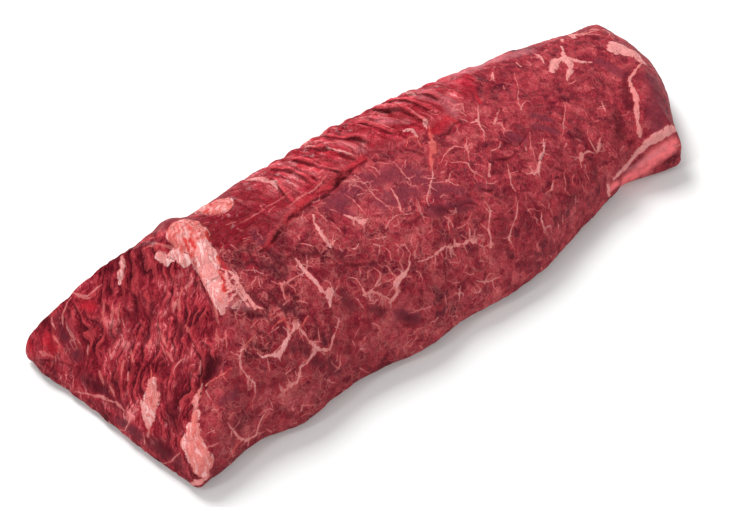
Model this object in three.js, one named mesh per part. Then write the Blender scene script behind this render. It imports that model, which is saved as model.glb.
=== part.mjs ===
// A raw, trimmed hanger steak of beef: one long slab of muscle lying on its flat underside.
// It is cut square with a slanting face at one end, where a ridge of fat stands on the rim, and it thins
// towards a rounded, oblique end. Its far shoulder keeps a wrinkled skin, its near side rolls down to the table.
// Units are millimetres. +X runs along the steak from the cut face to the thin end, +Z is up, and the origin
// lies on the underside, in the middle of the footprint's box.
import * as THREE from "three";
import { ImprovedNoise } from "three/addons/math/ImprovedNoise.js";
import { mergeVertices } from "three/addons/utils/BufferGeometryUtils.js";

// Where the two long edges meet the table, as [x, y] from the cut face to the thin end.
const NEAR_EDGE = [
  [-143, -44], [-119, -43.5], [-108, -41.8], [-100, -41.5], [-85, -45], [-65, -43], [-48, -43.5], [-31, -46.8],
  [-9, -45.3], [9, -47], [30, -46.5], [57, -40], [78, -35], [87, -33], [93, -34], [109, -38.5], [142, -42],
];
const FAR_EDGE = [
  [-143, 47.5], [-125, 47], [-113, 46.5], [-83, 45], [-70, 44.6], [-33, 46.8], [17, 47.4], [57, 45], [77, 43.5], [97, 43], [127, 39],
  [142, 37],
];
// The height of the crown, as [x, z].
const CROWN = [[-143, 41], [-91, 41], [-63, 40.5], [-13, 39.5], [37, 37], [77, 32], [107, 27], [127, 24], [142, 22.5]];

// The section across the steak: a broad roll on the near side, a tighter shoulder on the far one.
const CROWN_PLACE = 0.62; // of the width, from the near edge
const NEAR_ROUNDNESS = 2.4; // superellipse exponents, 2 is an ellipse
const NEAR_ROUNDNESS_THIN_END = 3.6;
const FAR_ROUNDNESS = 3.2;
const FOOT_RADIUS = 4; // the rounding where the sides turn under to the table
const FOOT_TUCK = 2.6;

// The slanting cut face.
const CUT_FOOT = [[-44, -132.5], [-30, -134.5], [-18, -136.5], [4, -138.5], [26, -141], [37, -142.5], [46, -142]]; // [y, x] along the table
const CUT_BLUNT_HEIGHT = 9; // the face stands upright to here
const CUT_SLOPE_NEAR = 1.32; // run over rise above that
const CUT_SLOPE_FAR = 1.72;
const CUT_LIFT_SOFTNESS = 5;

// The oblique thin end, as [y, x] along the table, and how far its top edge is rolled back.
const THIN_FOOT = [[-44, 112.5], [-34, 116], [-12, 132], [7, 140.5], [26, 142.5], [42, 138]];
const THIN_ROLL = 14;

// How finely the surface is divided.
const STATIONS = 112; // along the length
const ACROSS = 22; // over the crown
const UP_SIDE = 11; // up each side, and up each end
const UNDERSIDE_MARGIN = 0.86; // the ring inside the footprint, as a share of it
const TYPICAL_WIDTH = 90; // a section's, to space its points evenly
const TYPICAL_HEIGHT = 38;
const FINE_STEPS = 400;

// Where the wrinkled skin of the far shoulder begins, as [x, y], how it steps up there, and its folds.
const SKIN_EDGE = [[-95, 52], [-86, 24], [-78, 7], [-63, 3], [-27, 14], [-3, 18], [14, 12], [26, 10], [36, 14], [55, 18], [66, 32], [84, 52]];
const SKIN_STEP = 1.4;
const SKIN_SOFTNESS = 3;
const FOLD_HEIGHT = [[-60, 0], [-36, 0.5], [-20, 0.9], [50, 0.8], [75, 0]]; // [x, z]
const FOLD_PITCH = 9.5;
const FOLD_LEAN = 0.25; // how far a fold runs along the steak for its run across
const FOLD_WANDER = 0.7; // in pitches
const FOLD_WANDER_LENGTH = 45;

// Ridges and hollows on the surface: each a line in plan, its reach to either side, and how far it stands out.
const FORMS = [
  // the ridge of fat on the rim of the cut face, and the lacy fat beside its foot
  { line: [[-79, 42], [-80, 30], [-81, 18], [-85, 5], [-90, -10]], reach: 4.4, rise: 3 },
  { line: [[-82, -2], [-78, -9], [-79, -17]], reach: 4, rise: 0.6 },
  // the groove under the ridge, which goes on round the near lobe of the cut face, and that lobe
  { line: [[-92, 12], [-92, 3], [-95, -9], [-99, -15], [-103, -22], [-109, -25], [-115, -24]], reach: 3.3, rise: -2.2 },
  { line: [[-103, -4], [-108, -16]], reach: 8, rise: 1.8 },
  // the strip of fat down the near corner of the cut face
  { line: [[-116, -25], [-122, -31], [-127, -36], [-130, -42]], reach: 3.5, rise: 1 },
  // the lobe at the far corner of the cut face and the crease that sets it off
  { line: [[-134, 44], [-140, 34]], reach: 7, rise: 1.2 },
  { line: [[-124, 37], [-130, 32], [-136, 22]], reach: 3, rise: -1.6 },
  // the pulled fold that hangs from the edge of the skin
  { line: [[28, 20], [21, 9], [17, -1]], reach: 2.8, rise: 1.5 },
  // the hollow before the seam at the thin end, and the lobe beyond the seam
  { line: [[111, 7], [107, -6], [102, -17], [97, -27], [91, -34]], reach: 4.5, rise: -1.6 },
  { line: [[126, 4], [119, -12], [111, -24]], reach: 6, rise: 0.9 },
  // the small tuck low on the near side, where the thin end's band stops
  { line: [[82, -31], [81, -37]], reach: 3, rise: 2 },
];
const BUNDLE_PITCH = 11; // the coarse bundles of fibre across the cut face, which run slantwise up it
const BUNDLE_HEIGHT = 0.6;
const BUNDLE_WANDER = 1;
const BUNDLE_WANDER_LENGTH = 28;
const SWELLS = [{ length: 34, height: 1.3 }, { length: 15, height: 0.6 }]; // the soft unevenness everywhere
const RELIEF_STARTS = 1; // the height above the table from which there is relief
const RELIEF_FULL = 8;

const noise = new ImprovedNoise();
const { clamp, lerp, smoothstep } = THREE.MathUtils;

// A smooth value through [place, value] pairs.
function through(pairs) {
  const curve = new THREE.CubicInterpolant(pairs.map((p) => p[0]), pairs.map((p) => p[1]), 1);
  const [low, high] = [pairs[0][0], pairs.at(-1)[0]];
  return (place) => curve.evaluate(clamp(place, low, high))[0];
}

const nearEdge = through(NEAR_EDGE);
const farEdge = through(FAR_EDGE);
const crown = through(CROWN);
const cutFoot = through(CUT_FOOT);
const thinFoot = through(THIN_FOOT);
const skinEdge = through(SKIN_EDGE);
const foldHeight = through(FOLD_HEIGHT);

// A hump 1 high at 0 that has fallen to 1/e at 1.
const hump = (d) => Math.exp(-d * d);

// Where the cut face stands, for a share across the width and a share of the height.
function cutFace(across, up) {
  const y = lerp(nearEdge(-133), farEdge(-133), across);
  const lift = crown(-100) * up - CUT_BLUNT_HEIGHT;
  const run = (lift + Math.hypot(lift, CUT_LIFT_SOFTNESS)) / 2;
  return cutFoot(y) + run * lerp(CUT_SLOPE_NEAR, CUT_SLOPE_FAR, smoothstep(across, 0, 0.6));
}

// Where the thin end stands.
function thinFace(across, up) {
  const y = lerp(nearEdge(122), farEdge(122), across);
  return thinFoot(y) - THIN_ROLL * up ** 5;
}

// One point of the steak: shares across, up and along it.
function bodyPoint(across, up, along) {
  const x = lerp(cutFace(across, up), thinFace(across, up), along);
  const foot = clamp(1 - (up * crown(x)) / FOOT_RADIUS, 0, 1) ** 2 * FOOT_TUCK;
  const y = lerp(nearEdge(x) + foot, farEdge(x) - foot, across);
  return new THREE.Vector3(x, y, crown(x) * up);
}

// The outline of a section as evenly spaced [across, up] shares, from the near foot over the crown to the far one.
function sectionOutline(along) {
  const near = lerp(NEAR_ROUNDNESS, NEAR_ROUNDNESS_THIN_END, smoothstep(along, 0.72, 0.95));
  const fine = [];
  for (let k = 0; k <= FINE_STEPS; k++) {
    const turn = (Math.PI * k) / FINE_STEPS;
    const c = Math.cos(turn);
    const power = 2 / (c > 0 ? near : FAR_ROUNDNESS);
    const reach = Math.sign(c) * Math.abs(c) ** power;
    const across = CROWN_PLACE - reach * (c > 0 ? CROWN_PLACE : 1 - CROWN_PLACE);
    fine.push(new THREE.Vector2(across * TYPICAL_WIDTH, TYPICAL_HEIGHT * Math.sin(turn) ** power));
  }
  const length = [0];
  fine.forEach((p, k) => k && length.push(length[k - 1] + p.distanceTo(fine[k - 1])));
  const steps = ACROSS + 2 * UP_SIDE;
  return Array.from({ length: steps + 1 }, (_, j) => {
    const goal = (length.at(-1) * j) / steps;
    const k = clamp(length.findIndex((l) => l >= goal), 1, FINE_STEPS);
    const share = (goal - length[k - 1]) / (length[k] - length[k - 1]);
    const p = fine[k - 1].clone().lerp(fine[k], share);
    return [p.x / TYPICAL_WIDTH, p.y / TYPICAL_HEIGHT];
  });
}

// The inside of an end's outline, filled as a grid: [column across][row up] of [across, up] shares.
function endGrid(outline) {
  const near = (r) => outline[r];
  const far = (r) => outline[outline.length - 1 - r];
  const over = (c) => outline[UP_SIDE + c];
  const mix = (a, b, t) => [lerp(a[0], b[0], t), lerp(a[1], b[1], t)];
  return Array.from({ length: ACROSS + 1 }, (_, c) =>
    Array.from({ length: UP_SIDE + 1 }, (_, r) => {
      const [u, v] = [c / ACROSS, r / UP_SIDE];
      const sideways = mix(near(r), far(r), u);
      const upwards = mix([u, 0], over(c), v);
      const corners = mix(mix(near(0), far(0), u), mix(near(UP_SIDE), far(UP_SIDE), u), v);
      return [sideways[0] + upwards[0] - corners[0], sideways[1] + upwards[1] - corners[1]];
    }),
  );
}

// The closed surface before its relief: a skin of sections, two end grids and a flat underside.
function smoothBody() {
  const vertices = [];
  const triangles = [];
  const add = (p) => vertices.push(p) - 1;
  const apart = (a, b) => vertices[a].distanceTo(vertices[b]);
  const quad = (a, b, c, d) => triangles.push(...(apart(a, c) < apart(b, d) ? [a, b, c, a, c, d] : [a, b, d, b, c, d]));

  const rings = Array.from({ length: STATIONS + 1 }, (_, i) => {
    const along = i / STATIONS;
    return sectionOutline(along).map(([across, up]) => add(bodyPoint(across, up, along)));
  });
  for (let i = 0; i < STATIONS; i++)
    for (let j = 0; j < rings[0].length - 1; j++)
      quad(rings[i][j], rings[i + 1][j], rings[i + 1][j + 1], rings[i][j + 1]);

  [0, 1].forEach((along) => {
    const grid = endGrid(sectionOutline(along)).map((column) =>
      column.map(([across, up]) => add(bodyPoint(across, up, along))),
    );
    for (let c = 0; c < ACROSS; c++)
      for (let r = 0; r < UP_SIDE; r++) {
        const corners = [grid[c][r], grid[c][r + 1], grid[c + 1][r + 1], grid[c + 1][r]];
        quad(...(along ? corners.reverse() : corners));
      }
  });

  const footprint = [];
  for (let i = 0; i < STATIONS; i++) footprint.push(bodyPoint(0, 0, i / STATIONS));
  for (let c = 0; c < ACROSS; c++) footprint.push(bodyPoint(c / ACROSS, 0, 1));
  for (let i = STATIONS; i > 0; i--) footprint.push(bodyPoint(1, 0, i / STATIONS));
  for (let c = ACROSS; c > 0; c--) footprint.push(bodyPoint(c / ACROSS, 0, 0));
  const middle = new THREE.Vector3();
  footprint.forEach((p) => middle.addScaledVector(p, 1 / footprint.length));
  const inner = footprint.map((p) => p.clone().lerp(middle, 1 - UNDERSIDE_MARGIN));
  const outerIds = footprint.map(add);
  const innerIds = inner.map(add);
  footprint.forEach((_, k) => {
    const next = (k + 1) % footprint.length;
    quad(outerIds[k], innerIds[k], innerIds[next], outerIds[next]);
  });
  const flat = inner.map((p) => new THREE.Vector2(p.x, p.y));
  THREE.ShapeUtils.triangulateShape(flat, []).forEach(([a, b, c]) =>
    triangles.push(innerIds[a], innerIds[c], innerIds[b]),
  );

  const geometry = new THREE.BufferGeometry().setFromPoints(vertices);
  geometry.setIndex(triangles);
  return mergeVertices(geometry, 1e-3);
}

// How far a point is from a line in plan.
function distanceInPlan(p, line) {
  const foot = new THREE.Vector3();
  const flat = new THREE.Vector3(p.x, p.y, 0);
  const distances = line.slice(1).map(([x, y], k) => {
    const piece = new THREE.Line3(new THREE.Vector3(line[k][0], line[k][1], 0), new THREE.Vector3(x, y, 0));
    return piece.closestPointToPoint(flat, true, foot).distanceTo(flat);
  });
  return Math.min(...distances);
}

// How far the finished surface stands out from the smooth one at a point, for the way it faces there.
function relief(p, facing) {
  const swell = (length) => noise.noise(p.x / length, p.y / length, p.z / length);
  const forms = FORMS.reduce((sum, f) => sum + f.rise * hump(distanceInPlan(p, f.line) / f.reach), 0);
  const onSkin = smoothstep(p.y - skinEdge(p.x), -SKIN_SOFTNESS, SKIN_SOFTNESS);
  const turns = (p.x + FOLD_LEAN * p.y) / FOLD_PITCH + FOLD_WANDER * swell(FOLD_WANDER_LENGTH);
  const skin = SKIN_STEP + foldHeight(p.x) * Math.cos(2 * Math.PI * turns);
  const onCut = smoothstep(-facing.x, 0.35, 0.6);
  const across = (p.x - p.y) / Math.SQRT2 / BUNDLE_PITCH + BUNDLE_WANDER * swell(BUNDLE_WANDER_LENGTH);
  const bundles = onCut * BUNDLE_HEIGHT * Math.cos(2 * Math.PI * across);
  const swells = SWELLS.reduce((sum, s) => sum + s.height * swell(s.length), 0);
  return (forms + onSkin * skin + bundles + swells) * smoothstep(p.z, RELIEF_STARTS, RELIEF_FULL);
}

// The finished surface, set with the middle of its box over the origin.
function steakSurface() {
  const geometry = smoothBody();
  geometry.computeVertexNormals();
  const { position, normal } = geometry.attributes;
  for (let i = 0; i < position.count; i++) {
    const p = new THREE.Vector3().fromBufferAttribute(position, i);
    const out = new THREE.Vector3().fromBufferAttribute(normal, i);
    p.addScaledVector(out, relief(p, out));
    position.setXYZ(i, p.x, p.y, p.z);
  }
  geometry.computeBoundingBox();
  const middle = geometry.boundingBox.getCenter(new THREE.Vector3());
  geometry.translate(-middle.x, -middle.y, 0);
  geometry.computeVertexNormals();
  return geometry;
}

const steak = new THREE.Mesh(
  steakSurface(),
  new THREE.MeshStandardMaterial({ color: 0x9c3b42, roughness: 0.45, metalness: 0 }),
);
steak.name = "steak";

const part = new THREE.Group();
part.add(steak);
export default part;
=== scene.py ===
import math
import random

import bmesh
import bpy
import numpy as np
from mathutils import Matrix, Vector, kdtree, noise
from mathutils.bvhtree import BVHTree


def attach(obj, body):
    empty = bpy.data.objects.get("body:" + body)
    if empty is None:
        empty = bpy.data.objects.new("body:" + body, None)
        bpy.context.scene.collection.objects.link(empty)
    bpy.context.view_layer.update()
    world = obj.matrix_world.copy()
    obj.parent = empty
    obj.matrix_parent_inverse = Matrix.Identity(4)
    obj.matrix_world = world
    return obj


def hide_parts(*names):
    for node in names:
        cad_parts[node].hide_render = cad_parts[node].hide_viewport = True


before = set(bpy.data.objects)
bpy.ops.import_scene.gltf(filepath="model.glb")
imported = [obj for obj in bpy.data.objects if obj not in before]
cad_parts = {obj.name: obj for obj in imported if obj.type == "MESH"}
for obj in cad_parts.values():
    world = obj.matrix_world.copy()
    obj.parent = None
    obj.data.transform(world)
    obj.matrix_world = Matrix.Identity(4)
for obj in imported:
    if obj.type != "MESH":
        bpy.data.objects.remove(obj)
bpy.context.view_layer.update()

# The view. A long lens looks down on the near side of the steak from the side of its cut face. The veins and
# spots of the steak are marked further on by where they show in this view, and each is put on the surface
# that is seen there.
MM = 0.001
PICTURE_WIDTH = 750
PICTURE_HEIGHT = 507
SENSOR_WIDTH = 36
FOCAL_LENGTH = 100
VIEW_AZIMUTH = math.radians(-41)
VIEW_ELEVATION = math.radians(45)
VIEW_DISTANCE = 768
VIEW_TARGET = Vector((-22.4, -10.9, 18.7))

back = Vector((
    math.sin(VIEW_AZIMUTH) * math.cos(VIEW_ELEVATION),
    -math.cos(VIEW_AZIMUTH) * math.cos(VIEW_ELEVATION),
    math.sin(VIEW_ELEVATION),
))
eye = VIEW_TARGET + back * VIEW_DISTANCE
eye_turn = back.to_track_quat("Z", "Y").to_matrix()
lens = bpy.data.cameras.new("long_lens")
lens.lens = FOCAL_LENGTH
lens.sensor_width = SENSOR_WIDTH
camera = bpy.data.objects.new("camera", lens)
camera.matrix_world = Matrix.Translation(eye * MM) @ eye_turn.to_4x4()
bpy.context.scene.collection.objects.link(camera)
bpy.context.scene.camera = camera


# The form of the steak. One piece of raw beef: a long trimmed muscle with a broad side turned up, a cut face
# that slants down at one end, a wrinkled shoulder along the far side and a thin end beyond a white seam. The
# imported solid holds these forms, and the mesh here is that solid made round and fine enough for its grain.
WELD = 0.01 * MM


def welded(node):
    """The points of a node in millimetres and its triangles, with the points that lie together made one."""
    form = bmesh.new()
    form.from_mesh(node.data)
    bmesh.ops.remove_doubles(form, verts=form.verts, dist=WELD)
    form.verts.ensure_lookup_table()
    corners = np.array([point.co[:] for point in form.verts]) / MM
    triangles = np.array([[point.index for point in face.verts] for face in form.faces])
    form.free()
    return corners, triangles


def rounded(points, faces):
    """The same surface with each triangle made four and all of it smoothed, by the weights of Loop's rule."""
    edges = np.concatenate([faces[:, [0, 1]], faces[:, [1, 2]], faces[:, [2, 0]]])
    opposite = np.concatenate([faces[:, 2], faces[:, 0], faces[:, 1]])
    unique, inverse = np.unique(np.sort(edges, axis=1), axis=0, return_inverse=True)
    inverse = inverse.ravel()
    across = np.zeros((len(unique), 3))
    np.add.at(across, inverse, points[opposite])
    middles = 0.375 * (points[unique[:, 0]] + points[unique[:, 1]]) + 0.125 * across
    around = np.zeros_like(points)
    count = np.zeros(len(points))
    for one, other in ((0, 1), (1, 0)):
        np.add.at(around, unique[:, one], points[unique[:, other]])
        np.add.at(count, unique[:, one], 1)
    share = np.where(count == 3, 3 / 16, 3 / (8 * count))
    moved = points * (1 - share * count)[:, None] + around * share[:, None]
    ab, bc, ca = inverse.reshape(3, -1) + len(points)
    a, b, c = faces.T
    parts = [(a, ab, ca), (ab, b, bc), (ca, bc, c), (ab, bc, ca)]
    return np.concatenate([moved, middles]), np.concatenate([np.stack(part, axis=1) for part in parts])


def facing(points, faces):
    """The direction that the surface faces at each point."""
    corners = points[faces]
    turned = np.cross(corners[:, 1] - corners[:, 0], corners[:, 2] - corners[:, 0])
    total = np.zeros_like(points)
    for corner in range(3):
        np.add.at(total, faces[:, corner], turned)
    return total / np.linalg.norm(total, axis=1)[:, None]


points, faces = welded(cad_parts["steak"])
points, faces = rounded(*rounded(points, faces))
normals = facing(points, faces)
surface = BVHTree.FromPolygons(points.tolist(), faces.tolist())

# The zones of the surface. The cut face lies outside the line of its rim, the skin lies beyond the line where
# the muscle was peeled off it, and the thin end lies beyond its seam. Each line is points seen from above.
RIM = [(-131, -44), (-127, -36), (-120, -30), (-111, -26), (-103, -22), (-98, -15), (-94, -8), (-91, 2),
       (-87, 10), (-87, 20), (-86, 30), (-86, 48)]
SKIN = [(-95, 52), (-86, 24), (-78, 7), (-63, 3), (-27, 14), (-3, 18), (14, 12), (26, 10), (36, 14),
        (55, 18), (66, 32), (84, 52)]
SEAM = [(91, -34), (97, -27), (102, -17), (107, -6), (111, 7), (113, 48)]
RIM_SOFTNESS = 1.5
SKIN_SOFTNESS = 3
SEAM_SOFTNESS = 1
TABLE_CONTACT = 0.3
UNDERSIDE = 3


def smooth_step(value, start, end):
    """A share that goes softly from 0 at the start to 1 at the end."""
    share = np.clip((value - start) / (end - start), 0, 1)
    return share * share * (3 - 2 * share)


rim_y, rim_x = np.array(sorted((y, x) for x, y in RIM)).T
skin_x, skin_y = np.array(SKIN).T
seam_y, seam_x = np.array(sorted((y, x) for x, y in SEAM)).T
x, y, z = points.T
beyond_rim = np.interp(y, rim_y, rim_x) - x
beyond_skin = y - np.interp(x, skin_x, skin_y)
beyond_seam = x - np.interp(y, seam_y, seam_x)
cut_face = smooth_step(beyond_rim, -RIM_SOFTNESS, RIM_SOFTNESS)
skin = smooth_step(beyond_skin, -SKIN_SOFTNESS, SKIN_SOFTNESS) * (1 - cut_face)
thin_end = smooth_step(beyond_seam, -SEAM_SOFTNESS, SEAM_SOFTNESS)
broad_face = (1 - cut_face) * (1 - skin) * (1 - thin_end)
off_the_table = smooth_step(z, TABLE_CONTACT, UNDERSIDE)

# The fat and the marbling. Fat lies as a lumpy ridge on the rim of the cut face, as strips and pads where the
# muscle was trimmed, and as veins that fork between the bundles of muscle. Each line is marked by where it
# shows in the view, with half of its breadth in millimetres.
RIDGE_TOP_FAT = {
    4.0: [[(190, 223), (194, 232), (198, 243)]],
    3.7: [[(174, 226), (180, 231), (186, 240)]],
    3.0: [[(206, 208), (213, 207), (221, 206)]],
    2.0: [[(194, 247), (196, 256), (202, 266)]],
}
RIDGE_FAT = {
    3.2: [[(199, 245), (200, 253), (204, 262)]],
    2.7: [[(204, 262), (208, 271), (212, 281)]],
    2.0: [[(213, 281), (217, 291), (221, 304)]],
    1.8: [[(219, 302), (222, 309)]],
    1.6: [[(174, 254), (181, 256), (187, 262)]],
    1.4: [[(161, 257), (166, 261)]],
}
CORNER_FAT = {
    2.7: [[(192, 441), (196, 452), (202, 464)]],
    2.0: [[(193, 436), (193, 444), (198, 458), (205, 470), (206, 476)], [(187, 443), (196, 447)]],
    1.5: [[(194, 425), (193, 434)]],
    1.1: [[(199, 393), (196, 400), (196, 413), (194, 425)], [(192, 484), (199, 482)]],
    0.5: [[(202, 386), (199, 393)], [(207, 384), (209, 382)]],
}
CUT_FACE_FAT = {
    2.9: [[(152, 388), (152, 397), (151, 408)]],
    2.2: [[(152, 382), (151, 414), (150, 424)]],
    1.7: [[(122, 258), (123, 266), (121, 273), (120, 281)]],
    1.2: [[(142, 403), (145, 416), (149, 429)]],
}
CUT_FACE_THREADS = {
    0.9: [[(150, 428), (148, 434)], [(129, 374), (128, 380)], [(88, 346), (88, 353)],
        [(81, 297), (86, 298.5), (91, 297)], [(109, 351), (111, 357)]],
    0.7: [[(73, 292), (80, 296), (87, 296)], [(177, 301), (174, 309)], [(200, 362), (201, 372)],
        [(92, 395), (100, 397), (108, 400)]],
    0.6: [[(107, 400), (117, 403), (124, 411)], [(110, 423), (114, 428), (119, 430), (124, 431), (128, 424),
        (130, 418)], [(65, 322), (69, 331), (74, 338), (80, 343)], [(52, 317), (52, 322), (54, 328)],
        [(26, 341), (24, 350), (26, 358)], [(54, 336), (59, 345), (58, 353)]],
    0.5: [[(87, 296), (95, 290), (101, 286)], [(69, 299), (65, 306), (63, 313), (62, 323)],
        [(144, 434), (144, 443)], [(174, 370), (177, 364), (181, 360)],
        [(161, 464), (169, 462), (179, 454)], [(190, 365), (193, 364)], [(77, 392), (92, 395), (107, 398)],
        [(122, 320), (124, 326)]],
}
LACE_FAT = {
    1.0: [[(219, 268), (227, 270), (234, 275), (240, 285), (247, 296), (254, 306)]],
    0.9: [[(219, 271), (227, 279), (230, 284), (238, 290), (244, 298), (248, 304)]],
    0.7: [[(227, 279), (226, 270)], [(224, 290), (231, 286)], [(254, 306), (260, 308)],
        [(233, 276), (228, 284), (221, 286)], [(240, 286), (231, 290), (226, 294)],
        [(238, 291), (232, 298), (227, 303)], [(247, 297), (240, 301), (234, 306)]],
    0.5: [[(235, 286), (239, 278), (234, 271)], [(228, 299), (236, 295), (239, 289)],
        [(246, 297), (241, 303)]],
}
SKIN_FAT = {
    1.3: [[(250, 179), (258, 178), (267, 180)], [(272, 181), (277, 187)]],
    0.9: [[(404, 93), (414, 94)], [(406, 130), (412, 129), (416, 135)]],
    0.8: [[(307, 147), (322, 148), (338, 151), (352, 156)], [(262, 181), (272, 182)]],
}
SKIN_THREADS = {
    0.5: [[(372, 108), (392, 105), (402, 107), (412, 112), (425, 120), (429, 127), (432, 137)],
        [(288, 208), (300, 198), (315, 190), (325, 178)], [(448, 102), (455, 106), (462, 104), (464, 111)],
        [(452, 112), (458, 110), (465, 115)], [(455, 106), (452, 112)],
        [(331, 142), (344, 143), (358, 150)]],
    0.35: [[(380, 118), (398, 119), (405, 123)], [(242, 222), (256, 214), (264, 210)],
        [(268, 206), (280, 199), (290, 193)], [(366, 121), (380, 124), (392, 129)]],
}
END_STRIP_FAT = {
    2.4: [[(614, 44), (616, 52)], [(626, 50), (634, 54)]],
    1.9: [[(616, 45), (626, 49), (634, 54), (641, 61)]],
    1.2: [[(636, 154), (644, 147), (656, 139), (667, 133), (674, 129)],
        [(646, 142), (658, 135), (672, 126)]],
    1.1: [[(616, 178), (622, 171), (636, 154)]],
    0.9: [[(608, 186), (610, 196)]],
}
THIN_END_FAT = {
    1.1: [[(633, 91), (636, 97), (637, 105), (637, 114), (638, 124), (640, 134)]],
    0.9: [[(630, 82), (633, 91)]],
    0.7: [[(641, 64), (635, 72), (630, 77), (630, 84)]],
}
THICK_VEINS = {
    1.2: [[(564.5, 58.5), (556.5, 60), (552, 70.5)], [(564.5, 58.5), (570, 64), (570, 71), (567, 78.5)]],
    1.0: [[(297, 260), (303, 268), (309.5, 275.5), (317, 283), (321.5, 291), (329.5, 295.5),
        (330.5, 304.5)], [(564.5, 58.5), (572, 59.5), (581, 61.5), (590, 62)], [(564.5, 58.5), (562, 47)],
        [(562, 39), (562.5, 41)], [(424.5, 119.5), (426.5, 127)], [(492, 74), (493, 77)]],
    0.75: [[(329, 295), (331.5, 288.5)], [(314, 216.5), (314, 222), (319.5, 231), (325, 239), (329, 244.5)],
        [(346, 215.5), (354, 219), (361.5, 222)], [(552, 70.5), (550, 61.5)], [(259.5, 354), (263, 357),
        (269.5, 355), (278.5, 355), (283, 348.5), (287, 339.5), (296, 327)], [(394.5, 285.5), (398, 280),
        (403.5, 274.5), (408, 270), (410, 263.5)], [(535.5, 55), (541, 58.5), (544.5, 63)],
        [(572, 36), (573, 37)], [(544, 140), (544, 151), (541, 156.5), (539, 164.5), (538, 172),
        (533.5, 173.5), (529, 174)], [(518, 63), (520, 65)]],
}
MIDDLE_VEINS = {
    0.58: [[(317, 349.5), (311.5, 356), (307, 363), (301.5, 367), (299.5, 376), (297, 383), (290.5, 385)],
        [(296, 327), (300.5, 329.5), (306, 336), (313, 344), (317, 349.5), (324, 349.5), (328.5, 349.5),
        (332, 343), (334.5, 334), (337, 328.5), (339.5, 320.5)],
        [(307, 256.5), (308.5, 264.5), (305.5, 269)], [(361.5, 222), (366.5, 219)],
        [(361.5, 222), (363.5, 226.5)], [(329, 244.5), (331.5, 243), (336, 239)],
        [(278.5, 355), (279.5, 359)], [(375.5, 244.5), (379.5, 246.5), (379.5, 252)], [(420, 261),
        (428, 259), (434.5, 254.5), (439, 251), (444.5, 246.5), (450, 248), (454.5, 244.5), (463.5, 244.5),
        (469, 241), (473.5, 241)], [(493, 151), (496, 149), (499.5, 147)], [(602, 101.5), (605.5, 110.5)],
        [(553, 182), (552, 189), (546.5, 193)], [(589, 140), (593.5, 148.5), (596.5, 153), (599.5, 146.5),
        (600, 140)], [(573.5, 160), (581, 156.5), (588, 151.5), (592, 153)], [(581, 156.5), (581, 165)],
        [(394.5, 285.5), (396.5, 289), (397, 293.5), (394.5, 298), (391, 301)]],
    0.47: [[(251.5, 339.5), (246, 344), (241.5, 350.5), (239.5, 357), (240, 364), (243, 370.5),
        (248.5, 377), (254, 383), (255, 390.5), (254, 398.5)],
        [(228.5, 424), (234, 430.5), (240.5, 438.5), (247, 440)],
        [(264, 413), (258.5, 425), (256, 435), (247, 440)], [(391, 188.5), (395.5, 196.5), (399, 202),
        (400.5, 209), (405.5, 214), (410, 214)], [(393.5, 218), (398, 215)],
        [(365.5, 294.5), (361, 285.5), (356.5, 279), (352, 278)], [(356.5, 299), (361, 304.5)],
        [(461, 288), (460, 292), (459.5, 300)], [(478, 281), (489, 281), (500, 276.5)], [(462, 119.5),
        (470, 122), (478, 121.5), (478.5, 113), (478, 104)],
        [(478, 121.5), (481, 127), (484, 133), (483.5, 140.5)], [(570, 84), (575.5, 80.5)], [(508.5, 165.5),
        (509, 172), (510, 180), (511, 184.5), (514, 190)], [(486.5, 203.5), (490, 210), (490, 220),
        (488.5, 229), (491, 238), (491, 244.5)], [(518, 202), (516.5, 212), (515, 220), (512, 229),
        (510.5, 234.5), (509, 239), (513.5, 247)], [(541.5, 215.5), (542, 226.5), (543.5, 230),
        (550, 225.5), (552, 232)], [(563, 216.5), (563.5, 222)], [(558, 223.5), (559, 228)],
        [(301.5, 244), (311.5, 245.5)], [(351.5, 249), (356, 249), (358.5, 244.5)], [(433, 169),
        (433, 178.5), (429.5, 189.5), (426.5, 199.5), (428.5, 204.5)]],
}
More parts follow.
